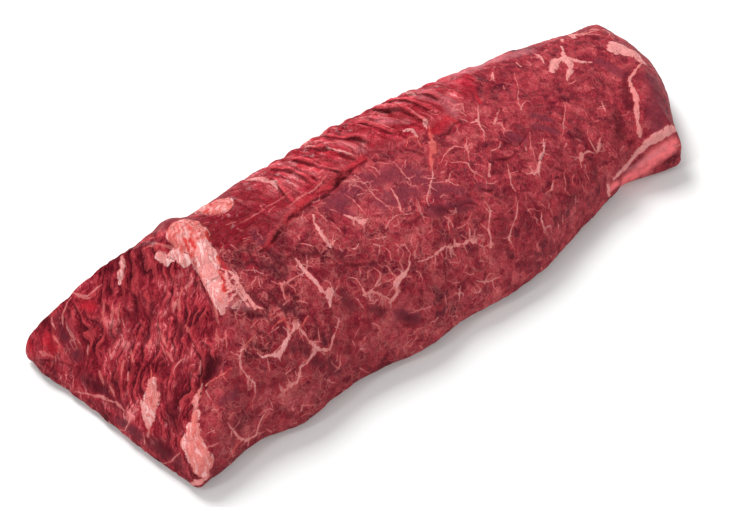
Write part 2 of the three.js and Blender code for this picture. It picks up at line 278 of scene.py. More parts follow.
FINE_VEINS = {
    0.38: [[(300.5, 273.5), (294, 278), (287, 282), (280.5, 284), (273, 282)],
        [(281, 285), (284, 292), (285.5, 298)], [(350, 177), (356.5, 181.5), (361, 181.5), (365.5, 184),
        (369, 189.5), (376.5, 197.5), (386.5, 205.5), (392, 211)], [(365.5, 294.5), (371, 290.5),
        (376.5, 285.5), (383.5, 283), (394.5, 278)], [(372, 292), (379, 294.5), (384.5, 296.5), (390, 300),
        (391, 305.5)], [(375.5, 269), (380, 273.5), (380, 279), (376, 284.5)],
        [(388, 266.5), (392, 272), (396.5, 278)],
        [(396.5, 244.5), (404.5, 245.5), (410, 253.5), (409, 261)], [(445.5, 296.5), (446.5, 304.5)],
        [(435, 254.5), (435, 261), (434.5, 266.5)], [(450, 249), (451, 254.5)],
        [(435.5, 182), (444.5, 181.5), (448, 181), (452, 171.5)], [(448, 181), (454.5, 185), (459.5, 185)],
        [(446.5, 160.5), (452, 163), (461, 161.5), (468, 163.5), (471, 169.5), (476.5, 173), (482, 177),
        (486, 179.5), (486, 188.5)], [(442, 160.5), (445.5, 154), (450, 149.5), (455, 146), (461, 147),
        (466.5, 146.5), (467, 136)], [(466.5, 146.5), (468.5, 151.5)],
        [(499, 109.5), (496.5, 117), (495, 123)], [(495, 123), (501, 123), (504.5, 129.5), (511, 130.5)],
        [(394.5, 163), (398, 167), (403.5, 173), (409, 178.5), (411.5, 185)],
        [(489.5, 166.5), (489, 175.5)], [(564.5, 171), (564.5, 176.5), (565.5, 184.5), (564.5, 190),
        (568.5, 194.5)], [(539.5, 240), (536.5, 245.5), (539, 251)], [(584.5, 171), (589, 179)],
        [(340.5, 357), (339.5, 366), (336, 370.5)], [(290.5, 385), (288.5, 379.5)],
        [(290.5, 385), (287, 389.5), (283, 393), (278.5, 396)], [(280.5, 386), (285.5, 396)]],
    0.3: [[(346, 194.5), (353, 200), (360.5, 208), (364.5, 213.5)],
        [(331.5, 222), (338.5, 229), (340.5, 232)], [(409, 204.5), (411, 209)],
        [(417, 201), (418, 211), (423.5, 216.5)], [(360, 268), (360.5, 274.5)],
        [(385.5, 248), (390, 252), (391, 259)], [(403, 254.5), (400, 263.5), (403.5, 270)],
        [(414.5, 235.5), (411, 240), (412, 244.5)], [(449, 219), (448.5, 223.5), (450, 231)],
        [(475.5, 283.5), (480, 289)], [(491, 278), (493.5, 286.5), (496.5, 290)],
        [(454.5, 244.5), (453.5, 239)], [(464.5, 245.5), (466.5, 251)],
        [(469, 241), (470, 234.5), (468, 223.5), (471, 214.5)], [(473.5, 241), (475.5, 232)],
        [(452, 250), (455.5, 255.5)], [(433, 178), (428, 178.5), (424.5, 176)],
        [(487, 184), (494.5, 184), (496.5, 182)], [(490, 166), (489, 175)], [(466.5, 146.5), (471, 145)],
        [(369, 166), (375.5, 168.5), (380, 174)], [(378, 161.5), (386.5, 163)],
        [(529.5, 134), (530.5, 146.5), (533, 151), (536.5, 163.5)], [(546.5, 139.5), (542, 147)],
        [(588, 127), (588, 133)], [(602, 136), (599, 145)], [(543.5, 153), (549.5, 154.5)],
        [(533.5, 173.5), (530.5, 167), (526.5, 166)], [(538.5, 173.5), (540.5, 180), (540.5, 183.5)],
        [(491, 244.5), (483.5, 246.5), (478, 243.5)], [(482, 224.5), (488, 231)],
        [(540, 202), (544.5, 206.5)], [(550, 209), (552, 213.5)], [(528, 209), (531, 212)],
        [(514.5, 73), (518, 87), (518, 103), (521, 108.5)], [(521, 108.5), (525.5, 101.5), (530, 101.5)],
        [(564.5, 103), (565.5, 109.5), (564.5, 117), (563, 134)], [(575.5, 198), (575.5, 211)],
        [(355, 336), (358.5, 329.5)], [(268.5, 360.5), (269.5, 370.5)], [(318.5, 329.5), (319.5, 339.5)],
        [(270.5, 401.5), (273, 407)], [(303, 416), (309.5, 413)]],
}
RED_VEINS = {
    1.7: [[(432, 142), (433.5, 150)]],
    1.2: [[(430, 130.5), (431.5, 139.5), (433.5, 148.5), (430, 157)]],
    0.7: [[(430, 157), (431.5, 161.5), (432, 169.5)]],
    0.45: [[(251.5, 339.5), (246, 344), (241.5, 350.5)], [(209, 382), (216, 378), (225, 374), (231, 368)],
        [(291.5, 331.5), (287, 325), (284, 319.5), (277, 324), (274, 328)], [(301.5, 327), (307, 317)],
        [(241, 441.5), (235.5, 447), (229, 457)], [(150, 366), (151, 377)], [(406.5, 146), (409, 137),
        (416.5, 137), (419, 141.5), (421, 147)]],
}
# Pale streaks along the crests of the cut face's strands, partly pale tissue and partly painted highlight;
# the thinnest are painted glints and sheen lines.
CREST_FAT_AND_GLINTS = {
    0.8: [[(104, 303), (103, 314), (106, 326)], [(120, 303), (117.5, 312), (119, 320)],
        [(123, 362), (121, 372), (122, 380)], [(174, 302), (173, 311)],
        [(212, 296), (215, 310), (219, 325)], [(216, 330), (218, 345)], [(160, 343), (165, 352)],
        [(161, 334), (167, 347)], [(149, 341), (149, 350)], [(182, 290), (179, 301), (180, 312)],
        [(131, 352), (134, 362)], [(186, 326), (190, 333)], [(99, 372), (103, 384)],
        [(110, 386), (114, 396)], [(113, 306), (112, 318)], [(167, 352), (172, 360)]],
    0.9: [[(147, 247), (157, 244), (167, 246), (178, 250)], [(226, 333), (227, 345)],
        [(40, 352), (52, 356)]],
    0.3: [[(139, 244), (144, 241)], [(147, 239), (153, 237)], [(143, 249), (150, 245)],
        [(66, 345), (70, 352)], [(69, 341), (74, 350)], [(72, 338), (78, 349)], [(76, 336), (82, 347)],
        [(64, 350), (67, 356)]],
}
MARK_STEP = 1.35
VEIN_BEND = 0.1
VEIN_WANDERS = ((0.3, 3), (0.24, 1.1))
UNEVEN = 1.2
UNEVEN_LENGTH = 1.6
UNEVEN_SHIFT = (7, 3, 1)
FINER_BELOW = ((0.6, 0.75), (1.3, 0.85))
WEB = 1.5
WEB_STEPS = 2.5
MEETING = 2
TAPER = 0.25

# Without a seed of its own this noise would be different in each run.
NOISE_SEED = 1
noise.seed_set(NOISE_SEED)

# A line of fat is a row for each of its samples, with these in its columns.
PLACE = slice(0, 3)
WAY = slice(3, 6)
FACING = slice(6, 9)
WIDTH, STRENGTH, TINT = 9, 10, 11
COLUMNS = 12


def lines_of(marked):
    """The lines of a list, each with the size that it is marked with."""
    return [(size, path) for size, paths in marked.items() for path in paths]


def seen_at(column, row):
    """The point of the steak that shows at this place of the picture, and the way its surface faces there."""
    focal_pixels = PICTURE_WIDTH * FOCAL_LENGTH / SENSOR_WIDTH
    direction = eye_turn @ Vector((column - PICTURE_WIDTH / 2, PICTURE_HEIGHT / 2 - row, -focal_pixels))
    return surface.ray_cast(eye, direction.normalized())[:2]


def curve_through(marks, spacing, bend):
    """Points a spacing apart on a curve through the marks. With a bend of 0 it is straight between them."""
    marks = [np.array(mark, float) for mark in marks]
    knots = [2 * marks[0] - marks[1], *marks, 2 * marks[-1] - marks[-2]]
    curve = []
    for before, start, end, after in zip(knots, knots[1:], knots[2:], knots[3:]):
        steps = max(1, round(float(np.linalg.norm(end - start)) / spacing))
        leaving = bend * (end - before) + (1 - 2 * bend) * (end - start)
        arriving = bend * (after - start) + (1 - 2 * bend) * (end - start)
        for t in np.arange(steps) / steps:
            curve.append(start + leaving * t + (3 * (end - start) - 2 * leaving - arriving) * t**2
                         + (leaving + arriving - 2 * (end - start)) * t**3)
    return [*curve, marks[-1]]


def line_on(marks, spacing, bend=0.5):
    """The places on the steak along the curve through these marks, and the way the surface faces at each."""
    found = [seen_at(*mark) for mark in curve_through(marks, spacing, bend)]
    found = [(place[:], normal[:]) for place, normal in found if place is not None]
    return np.array([place for place, normal in found]), np.array([normal for place, normal in found])


def noise_at(places, length, shift=(0, 0, 0)):
    """Soft noise at each place, with features of about this length. A shift sets two patterns apart."""
    return np.array([noise.noise(Vector(place) / length + Vector(shift)) for place in places])


vein_marks = [mark for veins in (THICK_VEINS, MIDDLE_VEINS, FINE_VEINS)
              for half_width, path in lines_of(veins) for mark in path]


def swelling(count, mark, least, steps):
    """How a vein's breadth changes towards an end: it narrows, or it webs out where other veins meet it."""
    meets = sum(math.dist(mark, other) < MEETING for other in vein_marks) > 1
    if meets:
        return (WEB - 1) * np.exp(-steps / WEB_STEPS)
    return (least - 1) * np.exp(-steps / (TAPER * count))


fat_lines = []


def lay_fat(places, facings, widths, strength, tint):
    """Keeps a line of fat, with the way it runs at each of its places."""
    ways = np.gradient(np.array(places), axis=0)
    ways /= np.linalg.norm(ways, axis=1)[:, None] + 1e-9
    alike = np.tile([strength, tint], (len(places), 1))
    fat_lines.append(np.column_stack([places, ways, facings, widths, alike]))


# For each kind of line: how strong and how red it is, how thin its ends are, and whether twigs sprout.
sprouting = []
for lines, strength, tint, least, sprouts in (
    (RIDGE_TOP_FAT, 1, 0.62, 0.9, False),
    (RIDGE_FAT, 1, 0.12, 0.9, False),
    (CREST_FAT_AND_GLINTS, 0.45, 0.6, 0.3, False),
    (CORNER_FAT, 1, 0.45, 0.8, False),
    (CUT_FACE_FAT, 0.9, 0.35, 0.45, False),
    (CUT_FACE_THREADS, 0.55, 0.4, 0.4, False),
    (LACE_FAT, 0.95, 0.35, 0.6, False),
    (SKIN_FAT, 0.85, 0.25, 0.5, False),
    (SKIN_THREADS, 0.5, 0.45, 0.5, False),
    (END_STRIP_FAT, 0.9, 0.28, 0.8, False),
    (THIN_END_FAT, 0.85, 0.45, 0.8, False),
    (THICK_VEINS, 0.9, 0.3, 0.45, True),
    (MIDDLE_VEINS, 0.8, 0.38, 0.35, True),
    (FINE_VEINS, 0.68, 0.45, 0.35, True),
    (RED_VEINS, 0.85, 0.95, 0.5, False),
):
    for half_width, path in lines_of(lines):
        places, facings = line_on(path, MARK_STEP, VEIN_BEND)
        if len(places) < 2:
            continue
        for wander, length in VEIN_WANDERS:
            places += wander * np.array([noise.noise_vector(Vector(place) / length)[:] for place in places])
        steps = np.arange(len(places))
        swells = swelling(len(places), path[0], least, steps)
        swells = swells + swelling(len(places), path[-1], least, steps[::-1])
        widths = half_width * (1 + swells) * (1 + UNEVEN * noise_at(places, UNEVEN_LENGTH, UNEVEN_SHIFT))
        widths *= next((share for limit, share in FINER_BELOW if half_width < limit), 1)
        lay_fat(places, facings, widths, strength, tint)
        if sprouts:
            sprouting.append(fat_lines[-1])

# Twigs. From the marked veins smaller ones fork off, and the sides that the view doesn't show have veins of
# their own kind. Each grows over the surface in short kinked runs and thins out towards its tip.
TWIG_STEP = 0.6
TWIG_TIP = 0.05
TWIG_TAPER = 0.6
TWIG_SWAY = 0.15
UNDERNEATH = -0.6
KINK_CHANCE = 0.3
KINKS = (0.5, 1.1)
FORK_CHANCE = 0.035
FORK_TURNS = (0.6, 1.2)
FORK_LENGTHS = (0.4, 0.8)
FORK_BREADTH = 0.7
FORK_STRENGTH = 0.9
SPROUT_CHANCE = 0.08
SPROUT_TURNS = (0.8, 1.5)
SPROUT_LENGTHS = (1.5, 5.5)
SPROUT_STRENGTH = 0.75
SPROUT_FORKS = 2
SPROUT_BREADTH = 0.24
THIN_VEIN = 0.2
twig_draw = random.Random(11)


def grow(place, way, width, length, strength, tint, forks):
    """Lays a twig of fat from this place on, with its forks."""
    places = []
    facings = []
    widths = []
    travelled = 0
    side = twig_draw.choice((-1, 1))
    while travelled < length:
        near, normal = surface.find_nearest(place)[:2]
        if near is None or normal.z < UNDERNEATH:
            break
        places.append(near[:])
        facings.append(normal[:])
        widths.append(width * (1 - travelled / length) ** TWIG_TAPER + TWIG_TIP)
        bend = twig_draw.gauss(0, TWIG_SWAY)
        if twig_draw.random() < KINK_CHANCE:
            side = -side
            bend += side * twig_draw.uniform(*KINKS)
        if forks and twig_draw.random() < FORK_CHANCE * forks:
            turn = Matrix.Rotation(-side * twig_draw.uniform(*FORK_TURNS), 3, normal)
            left = (length - travelled) * twig_draw.uniform(*FORK_LENGTHS)
            grow(near, turn @ way, width * FORK_BREADTH, left, strength * FORK_STRENGTH, tint, forks - 1)
        way = Matrix.Rotation(bend, 3, normal) @ way
        way = (way - normal * way.dot(normal)).normalized()
        place = near + way * TWIG_STEP
        travelled += TWIG_STEP
    if len(places) > 1:
        lay_fat(places, facings, widths, strength, tint)


for row in np.concatenate(sprouting):
    if row[WIDTH] > THIN_VEIN and twig_draw.random() < SPROUT_CHANCE:
        turn = twig_draw.choice((-1, 1)) * twig_draw.uniform(*SPROUT_TURNS)
        way = Matrix.Rotation(turn, 3, Vector(row[FACING])) @ Vector(row[WAY])
        width = min(SPROUT_BREADTH, row[WIDTH] * FORK_BREADTH)
        length = twig_draw.uniform(*SPROUT_LENGTHS)
        grow(Vector(row[PLACE]), way, width, length, row[STRENGTH] * SPROUT_STRENGTH, row[TINT], SPROUT_FORKS)

# Small veins lie scattered all over, and the sides that the view doesn't show carry long ones too. Each row
# of the list is a kind: how many, how broad and long, how strong and red, how often they fork, and where.
CUT_HALF = 5
WEBBED_SKIN = -52
TURNED_AWAY = 0.1
TURNED_DOWN = -0.5
SEED_BREADTHS = (0.8, 1.5)
SEED_STRENGTHS = (0.7, 1.1)
seed_draw = random.Random(5)
corners = points[faces]
middles = corners.mean(1)
spans = np.linalg.norm(np.cross(corners[:, 1] - corners[:, 0], corners[:, 2] - corners[:, 0]), axis=1)
middles_facing = normals[faces].mean(1)
at_middle = faces[:, 0]
along_middles = middles[:, 0]
away = middles_facing @ np.array(back) < TURNED_AWAY
down = middles_facing[:, 2] < TURNED_DOWN
hidden = away & ~down
plain = (broad_face[at_middle] > 0.5) & ~away & ~down
for count, width, lengths, strength, tint, forks, where_they_grow in (
    (90, 0.13, (1, 4), 0.45, 0.4, 1, plain),
    (30, 0.26, (0.6, 1), 0.45, 0.3, 0, plain),
    (90, 0.16, (1.5, 7), 0.6, 0.35, 3, plain & (along_middles < CUT_HALF)),
    (32, 0.17, (1, 3.5), 0.42, 0.45, 2, (skin[at_middle] > 0.5) & ~away & (along_middles < WEBBED_SKIN)),
    (110, 0.13, (1, 5), 0.45, 0.5, 1, hidden),
    (34, 0.4, (10, 26), 0.85, 0.4, 3, hidden & (cut_face[at_middle] < 0.5)),
):
    shares = np.cumsum(spans * where_they_grow)
    for index in range(count):
        face = int(np.searchsorted(shares, seed_draw.random() * shares[-1]))
        normal = Vector(middles_facing[face]).normalized()
        way = normal.cross(Vector([seed_draw.gauss(0, 1) for axis in range(3)])).normalized()
        own_width = width * seed_draw.uniform(*SEED_BREADTHS)
        length = seed_draw.uniform(*lengths)
        own_strength = strength * seed_draw.uniform(*SEED_STRENGTHS)
        grow(Vector(middles[face]), way, own_width, length, own_strength, tint, forks)

# What each point of the surface knows of the fat: how far it lies to the side of the nearest line and from
# it at all, and that line's breadth. Lines that come close are on different layers, so that a fork is crisp.
BROAD_FROM = 1.4
LAYERS = 3
ROOM = 3
BROAD_NEIGHBOURS = 40
NEIGHBOURS = 7
FAR = 1e4
FAT_EDGE = (-0.4, 0.6)
BROAD_FAT_EDGE = (-1.6, 0.2)
broad_lines = [line for line in fat_lines if line[:, WIDTH].max() >= BROAD_FROM]
thin_lines = [line for line in fat_lines if line[:, WIDTH].max() < BROAD_FROM]
layers = [np.full((1, COLUMNS), FAR) for layer in range(LAYERS)]
for line in thin_lines:
    room = [np.linalg.norm(line[:, None, PLACE] - layer[None, :, PLACE], axis=2).min() for layer in layers]
    freest = int(np.argmax(np.minimum(room, ROOM)))
    layers[freest] = np.concatenate([layers[freest], line])
layers = [np.concatenate(broad_lines), *[layer[1:] for layer in layers]]


def nearest_fat(samples, neighbours):
    """For each point of the steak the sample whose edge is nearest, and how far the point is outside it."""
    tree = kdtree.KDTree(len(samples))
    for index, place in enumerate(samples[:, PLACE]):
        tree.insert(place, index)
    tree.balance()
    best = np.zeros(len(points), int)
    outside = np.zeros(len(points))
    widths = samples[:, WIDTH].tolist()
    for index, point in enumerate(points):
        outside[index], best[index] = min((distance - widths[found], found) for place, found, distance
                                          in tree.find_n(point, neighbours))
    return best, outside


known = {}
fat_outside = np.full(len(points), FAR)
nearest = np.zeros((len(points), COLUMNS))
for number, layer in enumerate(layers):
    best, outside = nearest_fat(layer, NEIGHBOURS if number else BROAD_NEIGHBOURS)
    own = layer[best]
    offset = points - own[:, PLACE]
    sideways = np.cross(own[:, FACING], own[:, WAY])
    known[f"fat_across_{number}"] = np.einsum("ij,ij->i", offset, sideways)
    known[f"fat_near_{number}"] = np.linalg.norm(offset, axis=1)
    known[f"fat_width_{number}"] = own[:, WIDTH]
    closer = outside < fat_outside
    fat_outside[closer] = outside[closer]
    nearest[closer] = own[closer]
fat_share = 1 - smooth_step(fat_outside, *FAT_EDGE)
broad_fat = 1 - smooth_step(known["fat_near_0"] - known["fat_width_0"], *BROAD_FAT_EDGE)

# Ledges and soft spots. Where the skin was peeled off it wrinkled into folds that overlap like shingles, and
# the knife left small flaps elsewhere. A ledge is marked along its edge with the raised side above it, when
# it is followed to the right. A soft spot is a place that is darker, redder, greyer or paler than the rest;
# the darker hollows are painted shade, and the greyer spots are a painted sheen.
SKIN_FOLDS = {
    2.6: [[(318, 133), (332, 137), (345, 138), (357, 138), (367, 141)], [(372, 109), (385, 110), (398, 109),
        (411, 114), (424, 122)], [(305, 147), (318, 149), (332, 150), (345, 155), (357, 160)]],
    2.4: [[(349, 125), (363, 124), (378, 128), (388, 132), (398, 134)], [(292, 160), (305, 163), (318, 167),
        (332, 172), (340, 176)], [(270, 169), (287, 170), (302, 177), (312, 184)],
        [(296, 214), (303, 207), (312, 202), (326, 194)], [(331, 184), (343, 176), (352, 168), (368, 159)]],
    0.5: [[(433, 136), (447, 133), (451, 126), (462, 120)], [(368, 158), (380, 160), (392, 157)],
        [(396, 151), (405, 149), (418, 152), (428, 156)]],
    1.6: [[(273, 178), (280, 189), (292, 203)], [(258, 252), (268, 245), (278, 232), (284, 224)],
        [(321, 193), (333, 188), (338, 180), (348, 175)], [(282, 228), (290, 216), (299, 213)],
        [(385, 102), (400, 100), (418, 104), (432, 112)], [(405, 95), (425, 94), (440, 100)]],
}
FLAPS = {
    1.1: [[(66, 306), (63, 314), (66, 322), (71, 333), (80, 343)],
        [(30, 360), (45, 359), (60, 361), (75, 366)]],
    0.5: [[(441, 205), (453, 214), (465, 217), (488, 208)],
        [(473, 170), (488, 182), (503, 188), (523, 182)], [(491, 132), (506, 143), (523, 146)],
        [(396, 219), (410, 222), (425, 214), (440, 222)], [(596, 70), (606, 88), (612, 104)]],
    0.8: [[(531, 132), (526, 139), (520, 145.5), (516, 147), (512, 145), (507, 140.5), (500, 139),
        (491, 139)], [(485, 155), (492, 158), (500, 159), (507, 158), (512, 156)], [(480, 187),
        (486, 189.5), (492, 189), (497, 185.5), (501, 181)], [(526, 177), (522, 174), (515, 172),
        (507, 174), (500, 175)], [(482, 211), (474, 205.5), (467, 205), (460, 207)],
        [(491, 218), (500, 217.5), (510, 218), (517, 219)], [(550, 166), (557, 167.5), (565, 171)],
        [(555, 192.5), (562, 193), (567, 195), (574, 194), (580, 190)]],
    0.6: [[(332, 211), (334, 219), (339, 227)], [(338, 261), (352, 264), (370, 262), (382, 261)],
        [(428, 312), (422, 322), (410, 327), (396, 322)]],
}
CUT_FOLDS = {
    0.9: [[(189, 250), (194, 262), (199, 274), (204, 286), (209, 297), (213, 304), (218, 311)]],
    0.6: [[(146, 302), (148, 318), (152, 327)], [(191, 308), (192, 298), (197, 288)],
        [(182, 322), (180, 330), (186, 336)], [(207, 292), (213, 306), (218, 325), (221, 345), (220, 362),
        (211, 379)]],
    0.5: [[(103, 301), (101, 313), (103, 324), (107, 335), (112, 338)],
        [(118, 301), (115, 310), (117, 320), (122, 326)], [(143, 284), (140, 297), (145, 311), (146, 317)],
        [(157, 306), (158, 319), (165, 335)], [(143, 341), (144, 352), (148, 358)],
        [(120, 360), (119, 372), (121, 384)], [(172, 301), (171, 311), (178, 318)],
        [(172, 402), (166, 409), (166, 418), (172, 425)], [(169, 376), (181, 381), (183, 392)]],
    0.4: [[(170, 266), (164, 280), (164, 295), (161, 306)], [(147, 339), (144, 347), (147, 355)],
        [(160, 338), (164, 346), (170, 350)], [(156, 352), (159, 362), (158, 374)],
        [(213, 327), (214, 342), (218, 353)], [(110, 341), (109, 351), (113, 360)],
        [(104, 378), (105, 391)], [(130, 290), (127, 302), (130, 314), (134, 322)],
        [(180, 268), (178, 282), (181, 292)], [(192, 340), (190, 352), (194, 362)],
        [(128, 330), (126, 342), (131, 352)], [(93, 318), (92, 330), (97, 340)], [(84, 366), (86, 378)],
        [(136, 430), (134, 442), (138, 452)]],
}
FLAP_RUN_OUT = 4
FLAP_UNDERCUT = 1.4
FLAP_LIP = 0.6
LEDGE_RISE = 0.65
LEDGE_FALL = 0.5
LEDGE_ENDS = (0.5, 2)
LEDGE_MEAN = 0.8
LEDGE_CHANGE = 1.2
LEDGE_CHANGE_LENGTH = 5
LEDGE_EXTREMES = (0.3, 1.4)
LEAST_LEDGE = 0.05
NO_LEDGE = 9.0
SPOT_STEP = 3
SPOT_CORE = 0.25

# The radius, the depth and the line of each hollow. Each hollow is sunk into the surface and darkened as
# painted shade. The other spots have a list of lines for each radius.
HOLLOWS = {
    "left of the thin seam": (4.0, 0.4, [(628, 74), (627, 90), (630, 106)]),
    "under the thin seam": (3.6, 0.3, [(618, 114), (620, 134)]),
    "under the side band": (2.2, 0.6, [(666, 163), (673, 159)]),
    "dark blot": (1.8, 0.3, [(538, 211), (540, 219)]),
    "behind the ridge": (1.8, 0.6, [(170, 245), (178, 247)]),
    "dark top edge": (2.6, 0.3, [(137, 248), (148, 242), (160, 240)]),
    "beside the corner strip": (4.0, 0.7, [(216, 362), (211, 374)]),
    "below the lace": (3.2, 0.3, [(240, 312), (256, 314)]),
    "upper gap": (2.6, 0.4, [(178, 325), (180, 334)]),
    "middle gap": (2.2, 0.4, [(152, 302), (151, 318)]),
    "left gap": (2.0, 0.35, [(137, 298), (136, 310)]),
    "low blunt edge": (4.5, 0.2, [(92, 385), (112, 392)]),
    "low end": (4.5, 0.2, [(150, 442), (165, 452)]),
    "round hollow": (3.0, 0.4, [(171, 409), (173, 417)]),
}
FILMS = {
    7.0: [[(335, 205), (350, 192), (370, 180), (400, 172), (420, 178), (438, 190)],
        [(384, 202), (410, 192)], [(652, 80), (658, 98), (657, 125)]],
    3.5: [[(398, 314), (416, 318)], [(67, 336), (77, 356)], [(600, 62), (622, 74)],
        [(432, 212), (445, 208), (460, 207), (470, 203)], [(438, 192), (450, 188), (460, 191)]],
    2.6: [[(342, 210), (354, 218)], [(502, 138), (516, 142)], [(533, 114), (550, 120)],
        [(254, 234), (262, 242)], [(222, 400), (236, 394)], [(118, 420), (140, 436)],
        [(510, 133), (518, 138), (524, 141)], [(536, 126), (548, 129), (556, 132)],
        [(480, 188), (492, 186)]],
}
DARK_FILMS = {
    4.5: [[(66, 330), (70, 342), (76, 354)], [(60, 318), (66, 332)]],
    3.4: [[(440, 211), (456, 209), (468, 205)], [(84, 378), (100, 390), (122, 408)],
        [(160, 446), (176, 460)], [(262, 262), (278, 274)], [(286, 306), (296, 312)],
        [(300, 344), (308, 352)], [(340, 292), (352, 306)]],
    2.8: [[(402, 316), (414, 319)], [(124, 424), (138, 435)], [(208, 362), (214, 372)],
        [(268, 250), (275, 257)], [(278, 324), (283, 330)], [(319, 333), (323, 342)],
        [(287, 343), (294, 348)], [(330, 362), (338, 371)], [(313, 359), (322, 364)],
        [(248, 296), (256, 304)], [(341, 253), (349, 259)], [(372, 308), (382, 312)]],
}
FRESH = {
    2.4: [[(300, 206), (309, 199)], [(324, 190), (334, 184)], [(348, 170), (354, 165), (364, 158)]],
    1.5: [[(264, 249), (272, 241)], [(286, 222), (298, 210)], [(310, 199), (324, 191)],
        [(338, 180), (346, 172)], [(446, 118), (459, 124)], [(473, 90), (480, 102)]],
    1.0: [[(185, 240), (192, 256), (198, 264)], [(220, 270), (223, 280), (225, 290)],
        [(190, 240), (196, 248)]],
    1.6: [[(207, 235), (209, 240)], [(193, 216), (197, 216)], [(219, 258), (225, 268)],
        [(330, 136), (342, 137)], [(320, 151), (338, 154)], [(298, 165), (318, 170)]],
    3.0: [[(45, 338), (54, 349)], [(434, 132), (445, 122)]],
    2.8: [[(28, 343), (31, 355)], [(84, 304), (92, 307)]],
}
PALE_PINK = {
    5.8: [[(625, 182), (641, 170), (657, 156), (671, 146)]],
    3.0: [[(611, 190), (616, 186)]],
}
CRAGS = {
    9.0: [[(212, 230), (226, 240), (240, 246)], [(230, 222), (246, 228)]],
    11.0: [[(236, 246), (256, 256), (276, 262)], [(246, 302), (268, 306), (288, 300)]],
    7.0: [[(306, 262), (318, 254)], [(318, 340), (324, 334)], [(250, 352), (262, 346)]],
}
# Pale greyish pink patches along top edges and on the skin: a painted sheen of the wet surface.
PAINTED_SHEENS = {
    4.0: [[(202, 212), (213, 209), (226, 206)]],
    3.0: [[(224, 301), (236, 304), (247, 306)], [(380, 120), (405, 122)]],
    5.0: [[(420, 92), (445, 100), (452, 110)]],
    4.5: [[(452, 76), (476, 67), (502, 58), (528, 51)]],
    2.2: [[(340, 142), (352, 146), (362, 150)], [(480, 58), (500, 56), (530, 52)],
        [(620, 172), (640, 164), (664, 148)]],
}


def close_to(places, reach):
    """Which points of the steak are within reach of a line, and how far each is from each place on it."""
    within = np.all((points > places.min(0) - reach) & (points < places.max(0) + reach), axis=1)
    chosen = np.nonzero(within)[0]
    return chosen, np.linalg.norm(points[chosen][:, None] - places[None], axis=2)


def spread(marked):
    """How strongly each point of the steak lies in the marked soft spots."""
    share = np.zeros(len(points))
    for radius, path in lines_of(marked):
        chosen, distances = close_to(line_on(path, SPOT_STEP)[0], radius)
        here = 1 - smooth_step(distances.min(1), SPOT_CORE * radius, radius)
        share[chosen] = np.maximum(share[chosen], here)
    return share


spots = {
    "film": spread(FILMS),
    "dark_film": spread(DARK_FILMS),
    "fresh": spread(FRESH),
    "painted_sheen": spread(PAINTED_SHEENS),
    "crag": spread(CRAGS),
    "hollow": np.zeros(len(points)),
    "pale_pink": spread(PALE_PINK),
}
sunk = np.zeros(len(points))
for radius, depth, path in HOLLOWS.values():
    share = spread({radius: [path]})
    spots["hollow"] = np.maximum(spots["hollow"], share)
    sunk = np.maximum(sunk, depth * share)
ledge = np.zeros(len(points))
ledge_across = np.full(len(points), NO_LEDGE)
ledge_height = np.zeros(len(points))
for height, path in lines_of(SKIN_FOLDS) + lines_of(FLAPS) + lines_of(CUT_FOLDS):
    places, facings = line_on(path, MARK_STEP)
    ways = np.gradient(places, axis=0)
    ways /= np.linalg.norm(ways, axis=1)[:, None]
    chosen, distances = close_to(places, 3 * FLAP_RUN_OUT)
    closest = distances.argmin(1)
    sideways = np.cross(facings, ways)[closest]
    across = np.einsum("ij,ij->i", points[chosen] - places[closest], sideways)
    strength = np.sin(math.pi * (closest + 0.5) / len(places)) ** 0.5
    past_end = np.sqrt(np.maximum(distances.min(1) ** 2 - across**2, 0))
    strength *= 1 - smooth_step(past_end, *LEDGE_ENDS)
    come_and_go = LEDGE_MEAN + LEDGE_CHANGE * noise_at(places, LEDGE_CHANGE_LENGTH)
    strength *= np.clip(come_and_go, *LEDGE_EXTREMES)[closest]
    above = smooth_step(across, -FLAP_LIP, FLAP_LIP)
    rise_here = above * np.exp(-np.abs(across) / FLAP_RUN_OUT)
    fall_here = (1 - above) * np.exp(-np.abs(across) / FLAP_UNDERCUT)
    ledge[chosen] += height * strength * (LEDGE_RISE * rise_here - LEDGE_FALL * fall_here)
    closer = (np.abs(across) < np.abs(ledge_across[chosen])) & (strength > LEAST_LEDGE)
    ledge_across[chosen[closer]] = across[closer]
    ledge_height[chosen[closer]] = (height * strength)[closer]

# The relief of the meat. The cut face is strands that hang apart with gaps between them, the skin is
# drawn into fine folds, and the broad face is low bundles of muscle between shallow creases, which are deeper
# in craggy patches. The colour is darkened in the gaps between strands, folds and bundles as painted shade.
STRAND_HEIGHT = 0.9
SHALLOW_STRANDS = 0.45
SHALLOW_GAP_SHADE = 0.35
DEEP_LENGTH = 9
DEEP_SHIFT = (3, 0, 5)
DEEP_FROM = (-0.25, 0.3)
FOLD_HEIGHT = 0.55
LOOSE_FOLDS = 0.25
TIGHT_FROM = (-62, -46)
CRAG_HEIGHT = 0.6
BUNDLE_HEIGHT = 0.32
MEAN_RISE = 0.6
LEAST_SHARE = 0.01
LUMP_HEIGHT = 0.45
LUMP_LENGTH = 3.2
DIMPLE_HEIGHT = 0.12
DIMPLE_LENGTH = 2.2
SWELL_HEIGHT = 0.5
SWELL_LENGTH = 8
SWELL_SHIFT = (1, 4, 2)
FAT_HEIGHT = 0.1
BROAD_FAT_HEIGHT = 0.5
THICK_FAT_FROM = (0.8, 1.4)
FAT_LEVELS = 0.75
FRESH_REDNESS = 1.3
STRANDS_RUN = Vector((-0.6, -0.7, -0.38)).normalized()
FOLDS_RUN = Vector((-0.3, 1, 0)).normalized()
BUNDLES_RUN = Vector((0.3, 1, 0.1)).normalized()
rise = np.zeros(len(points))
# How much painted shade darkens each point, in the gaps between strands, folds and bundles.
gap_shade = np.zeros(len(points))


